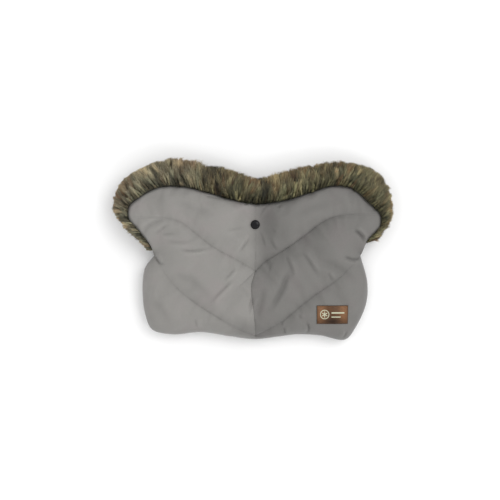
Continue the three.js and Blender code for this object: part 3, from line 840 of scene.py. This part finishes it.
# Fur
VALLEYS = [(-60, 1.0), (22, 0.85)]  # where the pile parts and is painted with shade, and how strongly
PILE_COLOURS = {
    "root": (0.018, 0.017, 0.011),
    "grey": (0.155, 0.155, 0.105),
    "khaki": (0.3, 0.265, 0.165),
    "brown": (0.2, 0.13, 0.075),
    "russet": (0.23, 0.11, 0.055),
    "tip": (0.52, 0.46, 0.33),
}
CORE_COLOUR = np.array(PILE_COLOURS["root"]) * 1.3
STRAND_LEVELS = np.array([0, 0.38, 0.72, 1])
LOCK = 5.5  # width of a lock of strands
ROOT_SPREAD = 0.72  # the share of the strip's width that carries roots
UPPER_SHARE = 0.68  # the share of the strands on the upper face
LOWEST, HIGHEST = 0.4, 71
LENGTHS = (0.28, 0.48)  # shortest and longest strand, as shares of the strip's width
CORE_MIDDLE, CORE_HALF = 0.31, 0.34  # where the core lies across the strip, in the same shares


def tail_taper(stops):
    """How full the strip is: it narrows at the two tails."""
    return 0.2 + 0.8 * rounded(np.minimum(stops - LEFT_TAIL, RIGHT_TAIL - stops).clip(0) / 0.5)


def fur_core(first, last, centre_z):
    """The dark rounded band under the strands of a strip: its points and its faces."""
    rings, ring = 120, 12
    stops = np.linspace(first, last, rings)
    inner = open_edge(stops)
    way = fur_edge(stops) - inner
    reach = np.linalg.norm(way, axis=1)
    turns = np.linspace(0, 2 * math.pi, ring, endpoint=False)
    taper = tail_taper(stops)
    z0, thick = centre_z(inner, reach), fur_half(reach) * taper
    share = CORE_MIDDLE - CORE_HALF * np.cos(turns)[None, :] * taper[:, None]
    flat = inner[:, None] + way[:, None] * share[..., None]
    height = z0[:, None] + thick[:, None] * 0.5 * np.sin(turns)[None, :]
    core = np.dstack([flat, np.maximum(height, LOWEST)])
    number = np.arange(rings * ring).reshape(rings, ring)
    nearby = np.roll(number, -1, axis=1)
    wall = np.stack([number[:-1], nearby[:-1], nearby[1:], number[1:]], -1).reshape(-1, 4)
    return core.reshape(-1, 3), wall.tolist() + [number[0, ::-1].tolist(), number[-1].tolist()]


def pile_colours(rng, travel, t, own, root, x, lit):
    """Grey-green by the cloth, khaki, brown and russet further out, with dark roots and light tips.

    travel and t say where a strand stands along and across the strip, own is the character of its lock, x is
    its place from left to right, and lit is how much light its place in the pile lets in.
    """
    c = {key: np.array(value) for key, value in PILE_COLOURS.items()}
    patchy = noise(travel, t * 40, 38, 31)
    outer = t / 0.62
    warm = np.clip(0.1 + 0.5 * outer + 0.3 * own[4] + 0.6 * patchy, 0, 1)[:, None]
    russet = np.clip(-0.35 + 0.35 * own[5] + 0.8 * noise(travel, t * 30, 26, 34), 0, 1)[:, None]
    grey = np.clip(0.75 - 0.9 * outer - 0.3 * own[4], 0, 1)[:, None]
    body = c["khaki"] * (1 - warm) + c["brown"] * warm
    body = body * (1 - russet) + c["russet"] * russet
    body = body * (1 - grey) + c["grey"] * grey
    mottle = noise(root[:, 0], root[:, 1], 8, 36)
    bright = np.exp(0.34 * own[3] + 0.3 * patchy + 0.55 * mottle + rng.normal(0, 0.2, len(t)))
    # Painted light: fur left of x=-60 is painted up to 0.4 lighter, as if lit more from the left; past x=150
    # it is a little lighter.
    leftward = step((-60 - x) / 60)
    bright *= lit * (0.65 + 0.4 * leftward + 0.08 * step((x - 150) / 50))
    bright = np.clip(bright, 0.12, 1.9)[:, None]
    light = np.clip(0.3 + 0.3 * own[5] + 0.3 * rng.normal(0, 1, len(t)), 0, 1)[:, None]
    tip = body * (1 - light) + c["tip"] * light
    sides = [c["root"] + 0 * body, body * 0.55 * bright, body * bright]
    colours = np.stack([*sides, *sides, tip * bright], axis=1)
    colours[..., 2] *= (0.8 + 0.18 * leftward)[:, None]
    return colours


def make_fur(name, node, body, first, last, strands, centre_z, seed):
    """A strip of fur between two control points of the open edge: a dark core and its strands."""
    rng = np.random.default_rng(seed)
    stops = np.linspace(first, last, 400)
    inner, outer = open_edge(stops), fur_edge(stops)
    width = np.linalg.norm(outer - inner, axis=1)
    advance = np.concatenate([[0], np.cumsum(np.linalg.norm(np.diff((inner + outer) / 2, axis=0), axis=1))])
    weight = np.gradient(advance) * np.sqrt(width)
    chance = np.cumsum(weight) / weight.sum()
    at = np.interp(rng.uniform(0, 1, strands), chance, stops)
    root_in, root_out = open_edge(at), fur_edge(at)
    way = root_out - root_in
    reach = np.linalg.norm(way, axis=1)
    way /= reach[:, None]
    travel = np.interp(at, stops, advance)
    sideways = np.column_stack([-way[:, 1], way[:, 0]])

    # Roots on the upper or lower face of the core
    t = rng.beta(1.05, 1.25, strands) * ROOT_SPREAD
    upper = rng.uniform(0, 1, strands) < UPPER_SHARE
    z0 = centre_z(root_in, reach)
    thick = fur_half(reach) * tail_taper(at)
    bulge = np.sqrt(np.clip(1 - ((t - 0.25) / 0.45) ** 2, 0.05, 1))
    sign = np.where(upper, 1.0, -1.0)
    root = np.column_stack([root_in + way * (t * reach + 0.4)[:, None], z0 + sign * thick * bulge * 0.55])

    # Strands gather in locks that share a direction, a length and a colour
    place = travel / LOCK + 0.6 * noise(travel, t * reach, 14, seed + 1)
    cell = np.floor(place).astype(int)
    row = np.floor(t * reach / 8 + 0.37 * (cell % 5)).astype(int)
    own = rng.normal(0, 1, (997, 6))[(cell * 31 + row * 173 + 461 * upper) % 997].T
    off_middle = place - cell - 0.5
    lean = 0.26 * own[0] + 0.65 * noise(travel, t * 60, 22, seed + 2) + rng.normal(0, 0.12, strands)
    lean += 0.6 * np.exp((LEFT_TAIL - at) / 0.35) - 0.2 * np.exp((at - RIGHT_TAIL) / 0.35)
    # Painted shade: strands are darker where the pile parts.
    dark = np.ones(strands)
    for x, strength in VALLEYS:
        away = root_in[:, 0] - x + 0.35 * t * reach
        lean -= 0.2 * strength * np.sign(away) * bell(away, 14)
        dark *= 1 - 0.85 * strength * bell(away, 9)
    rise = np.where(upper, 0.8 - 1.15 * t + 0.8 * bell(t, 0.09), -0.7 + 0.7 * t)
    rise = rise + 0.15 * own[1] + rng.normal(0, 0.12, strands)
    out = way * np.cos(lean)[:, None] + sideways * np.sin(lean)[:, None]
    direction = np.column_stack([out * np.cos(rise)[:, None], np.sin(rise)])
    size = reach * rng.uniform(*LENGTHS, strands) * (1 + 0.1 * own[2])
    x, y = root_in.T
    full = 0.08 * bell(x, 70) + 0.09 * bell(x - 195, 35) - 0.08 * step((-x - 150) / 80)
    full -= 0.1 * step((60 - y) / 40) * (x < 0)
    furthest = (0.93 + 0.018 * own[2] + full - t) * reach
    size = np.minimum(size, furthest / (np.cos(rise) * np.cos(lean) + 0.25).clip(0.6))
    size = np.clip(size, 2.5, 36)

    # Each strand droops, bends outwards and leans to the middle of its lock
    level = STRAND_LEVELS[None, :, None]
    droop = np.column_stack([way * 0.25, np.where(upper, -0.42, -0.1)])
    spine = root[:, None] + size[:, None, None] * (direction[:, None] * level + droop[:, None] * level**2)
    gather = sideways * (0.62 * LOCK * off_middle)[:, None]
    gather += rng.normal(0, 0.03, (strands, 2)) * size[:, None]
    spine[:, :, :2] += gather[:, None] * level**1.5
    spine[:, :, 2] = np.clip(spine[:, :, 2], LOWEST, HIGHEST)

    # Flat tapered strands, facing away from the core and rolled at random
    facing = np.column_stack([way * 0.25, sign])
    flat = np.cross(direction, facing)
    flat /= np.linalg.norm(flat, axis=1, keepdims=True)
    other = np.cross(flat, direction)
    roll = rng.normal(0, 0.55, strands)[:, None]
    flat = flat * np.cos(roll) + other * np.sin(roll)
    broad = (rng.uniform(0.38, 0.62, strands) * np.clip(reach / 30, 0.5, 1))[:, None]
    away = (flat * broad)[:, None] * np.array([0.8, 1.0, 0.62])[None, :, None]
    vertices = np.concatenate([spine[:, :3] + away, spine[:, :3] - away, spine[:, 3:]], axis=1)
    base = np.arange(strands)[:, None] * 7
    quads = np.concatenate([base + [0, 3, 4, 1], base + [1, 4, 5, 2]])
    tips = base + [2, 5, 6]

    # Painted shade: strands are darker where the pile parts and towards the sides of each lock.
    colours = pile_colours(rng, travel, t, own, root, x, dark * (1 - 1.7 * off_middle**2))
    core, core_faces = fur_core(first, last, centre_z)
    start = vertices.shape[0] * vertices.shape[1]
    core_faces = [[start + v for v in face] for face in core_faces]
    points = np.vstack([vertices.reshape(-1, 3), core])
    tint = np.vstack([colours.reshape(-1, 3), np.tile(CORE_COLOUR, (len(core), 1))])
    tint = np.column_stack([tint, np.ones(len(tint))]).astype(np.float32)
    obj = solid(name, points, quads.tolist() + tips.tolist() + core_faces, fur, pile=tint)
    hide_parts(node)
    if body == "front_flap":
        bend(obj)
    else:
        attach(obj, body)


def front_fur_z(inner, _):
    """The strip is caught between the front's cloth and its lining."""
    return front_height(inner) - SHELL - LAYER_GAP


def back_fur_z(inner, reach):
    closed = within(inner, closed_line)
    low = (SEAM_Z - LAYER_GAP) * (1 - rounded(closed / BACK_ROUNDING))
    return low + np.minimum(3 + reach * 0.12, 7.5)


def fur_half(reach):
    return np.minimum(13.0, 0.5 + reach * 0.26)


def make_furs(share=1.0):
    pieces = [
        ("fur_front_left", "front_fur_left", "front_flap", LEFT_TAIL, 8.55, 38000, front_fur_z, 101),
        ("fur_front_centre", "front_fur_centre", "front_flap", 8.5, 10.6, 15000, front_fur_z, 102),
        ("fur_front_right", "front_fur_right", "front_flap", 10.55, RIGHT_TAIL, 38000, front_fur_z, 103),
        ("fur_back_left", "back_fur_left", "pouch", LEFT_TAIL, NECK, 26000, back_fur_z, 104),
        ("fur_back_right", "back_fur_right", "pouch", NECK, RIGHT_TAIL, 26000, back_fur_z, 105),
    ]
    for name, node, body, first, end, strands, centre_z, seed in pieces:
        make_fur(name, node, body, first, end, int(strands * share), centre_z, seed)


# Press stud
def lathe(name, profile, material, segments=64):
    """A turned piece about the press stud's axis. Its profile runs from the axis back to the axis."""
    angles = np.linspace(0, 2 * math.pi, segments, endpoint=False)
    vertices = [(*SNAP, profile[0][1])]
    for r, z in profile[1:-1]:
        vertices += [(SNAP[0] + r * math.cos(a), SNAP[1] + r * math.sin(a), z) for a in angles]
    vertices.append((*SNAP, profile[-1][1]))
    rings = len(profile) - 2
    faces = []
    for k in range(segments):
        after = (k + 1) % segments
        faces.append([0, 1 + after, 1 + k])
        for ring in range(rings - 1):
            a, b = 1 + ring * segments, 1 + (ring + 1) * segments
            faces.append([a + k, a + after, b + after, b + k])
        top = 1 + (rings - 1) * segments
        faces.append([top + k, top + after, len(vertices) - 1])
    obj = solid(name, vertices, faces, material)
    bevel = obj.modifiers.new("edges", "BEVEL")
    bevel.width = 0.2 * MM
    bevel.segments = 2
    bevel.limit_method = "ANGLE"
    bevel.angle_limit = math.radians(35)
    return obj


def make_snap():
    seat = SNAP_FRONT_Z + LAYER_GAP
    radius = (cap_high - cap_low)[0] / 2
    dome = [
        (radius * math.cos(a), seat + 0.9 + (CAP_HEIGHT - 0.9) * math.sin(a))
        for a in np.linspace(0, math.pi / 2, 16)[:-1]
    ]
    shank_end = cap_low[2]
    pieces = [
        (
            "snap_dome", "snap_cap", "front_flap", "snap_black", snap_black,
            [(0, shank_end), (1.6, shank_end), (1.6, seat), (radius - 0.8, seat), *dome, (0, cap_high[2])],
        ),
    ]
    low, high = edges("snap_socket")
    pieces.append((
        "snap_spring_socket", "snap_socket", "front_flap", "snap_metal", steel,
        [
            (0, high[2] - 0.9), (3.7, high[2] - 0.9), (3.9, low[2]), (5.0, low[2] - 0.01), (5.6, low[2]),
            (6.3, low[2] + 0.6), (6.3, high[2]), (0, high[2]),
        ],
    ))
    low, high = edges("snap_stud")
    seat = high[2] - 3.8
    pieces.append((
        "snap_post", "snap_stud", "pouch", "snap_metal", steel,
        [
            (0, low[2]), (1.6, low[2]), (1.6, seat), (5.6, seat), (6, seat + 0.5), (4.4, seat + 1.2),
            (1.8, seat + 1.3), (2.1, seat + 2.2), (2.3, seat + 2.9), (1.6, seat + 3.6), (0, seat + 3.8),
        ],
    ))
    low, high = edges("snap_rear_cap")
    top = high[2]
    pieces.append((
        "snap_rear_dome", "snap_rear_cap", "pouch", "snap_black", snap_black,
        [
            (0, low[2]), (2, low[2] + 0.05), (3.5, top - 2), (5.6, top - 1.4), (6.5, top - 0.5), (6.1, top),
            (0, top),
        ],
    ))
    for name, node, body, slot, material, profile in pieces:
        obj = lathe(name, profile, material)
        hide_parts(node)
        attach(obj, body)


# Label
label_low, label_high = edges("label_patch")
LABEL_CENTRE = (label_low + label_high)[:2] / 2
LABEL_SIZE = (label_high - label_low)[:2]
LABEL_THICKNESS = 1.2
RIM = 1.6


def label_top(p):
    return front_height(p) + LAYER_GAP + LABEL_THICKNESS


def make_label():
    xs = np.linspace(-0.5, 0.5, 88) * LABEL_SIZE[0]
    ys = np.linspace(-0.5, 0.5, 52) * LABEL_SIZE[1]
    grid = np.stack(np.meshgrid(xs, ys), -1) + LABEL_CENTRE

    def top(p):
        inside = np.min(LABEL_SIZE / 2 - np.abs(p - LABEL_CENTRE), axis=1)
        return label_top(p) - 0.5 * (1 - rounded(inside / 1.2)) - 0.35 * bell(inside - 2.4, 0.5)

    obj = layer("label_leather", [grid], top, lambda p: front_height(p) + LAYER_GAP, leather)
    rest = np.zeros(len(obj.data.vertices) * 3)
    obj.data.attributes["rest"].data.foreach_get("vector", rest)
    place = (rest.reshape(-1, 3)[:, :2] / MM - LABEL_CENTRE) / (LABEL_SIZE / 2)
    inside = np.min((1 - np.abs(place)) * LABEL_SIZE / 2, axis=1)
    dark, brown, copper = np.array([[0.03, 0.016, 0.009], [0.075, 0.038, 0.019], [0.18, 0.09, 0.043]])
    # Painted sheen: the copper glow towards both ends; painted shadow: the darker patch low in the middle.
    glow = 0.15 + 0.85 * bell(np.abs(place[:, 0]) - 0.72, 0.3) * step(place[:, 1] + 1.1)
    shadow = 0.75 * bell(place[:, 0], 0.55) * bell(place[:, 1] + 0.75, 0.45)
    tone = brown + (copper - brown) * glow[:, None]
    tone = tone * (1 - shadow[:, None])
    rim = step(inside / RIM)[:, None]
    tone = dark + (tone - dark) * rim
    tint = np.column_stack([tone, np.ones(len(tone))]).astype(np.float32)
    obj.data.color_attributes.new("pile", "FLOAT_COLOR", "POINT").data.foreach_set("color", tint.ravel())
    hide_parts("label_patch")
    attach(obj, "pouch")

    def printed(name, grid):
        mark = layer(name, [grid], lambda p: label_top(p) + 0.18, lambda p: label_top(p) - 0.3, cream)
        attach(mark, "pouch")

    def bar(name, x, y, length, height):
        xs, ys = np.linspace(0, length, 16), np.linspace(-height / 2, height / 2, 4)
        printed(name, np.stack(np.meshgrid(xs, ys), -1) + LABEL_CENTRE + (x, y))

    centre = LABEL_CENTRE + np.array([-14.5, 0.5])
    turns = np.linspace(0, 2 * math.pi, 49)
    ring = np.stack([np.cos(turns), np.sin(turns)], -1)
    printed("label_ring", centre + ring[None] * np.array([7.2, 8.6])[:, None, None])
    for k in range(3):
        a = math.radians(60 * k + 30)
        out, across = np.array([math.cos(a), math.sin(a)]), np.array([-math.sin(a), math.cos(a)])
        arm = [[centre + out * r + across * s for r in np.linspace(-5.6, 5.6, 13)] for s in (-0.75, 0, 0.75)]
        printed(f"label_snowflake_arm_{k + 1}", np.array(arm))
    bar("label_bar_upper", -2, 3.4, 24, 2.4)
    bar("label_bar_lower", -2, -4.2, 17, 1.8)


# Studio
def make_studio():
    bpy.ops.mesh.primitive_plane_add(size=8, location=(0, 0, -0.0004))
    floor = bpy.context.object
    floor.name = "floor"
    s = Shader("floor", Roughness=0.9, Specular_IOR_Level=0.1)
    clouds = s.noise(s.node("TexCoord").outputs["Object"], 3, 2)
    tone = s.ramp(clouds, (0.3, (0.88, 0.88, 0.88)), (0.7, (0.9, 0.9, 0.9)))
    floor.data.materials.append(s.finish(Base_Color=tone))

    world = bpy.data.worlds.new("studio")
    world.use_nodes = True
    world.node_tree.nodes["Background"].inputs["Color"].default_value = (1, 1, 1, 1)
    world.node_tree.nodes["Background"].inputs["Strength"].default_value = 1.07
    bpy.context.scene.world = world

    def area(name, place, size, power):
        light = bpy.data.lights.new(name, "AREA")
        light.energy = power
        light.size = size
        obj = bpy.data.objects.new(name, light)
        obj.location = place
        toward = -np.array(place) / np.linalg.norm(place)
        obj.rotation_mode = "QUATERNION"
        obj.rotation_quaternion = Vector(toward).to_track_quat("-Z", "Y")
        bpy.context.scene.collection.objects.link(obj)

    area("key", (1.35, 0.95, 2.4), 1.6, 21)
    area("low_right", (1.3, -1.2, 2.0), 0.35, 4)


def make_camera():
    """Straight down on the muff."""
    camera = bpy.data.cameras.new("camera")
    camera.lens = 100
    camera.sensor_width = 36
    obj = bpy.data.objects.new("camera", camera)
    obj.location = (-0.0047, -0.0019, 2.608)
    bpy.context.scene.collection.objects.link(obj)
    bpy.context.scene.camera = obj
    bpy.context.scene.view_settings.view_transform = "Standard"


make_camera()
make_studio()
simulate_puff()
make_front()
make_back()
make_furs(1.0)
make_snap()
make_label()
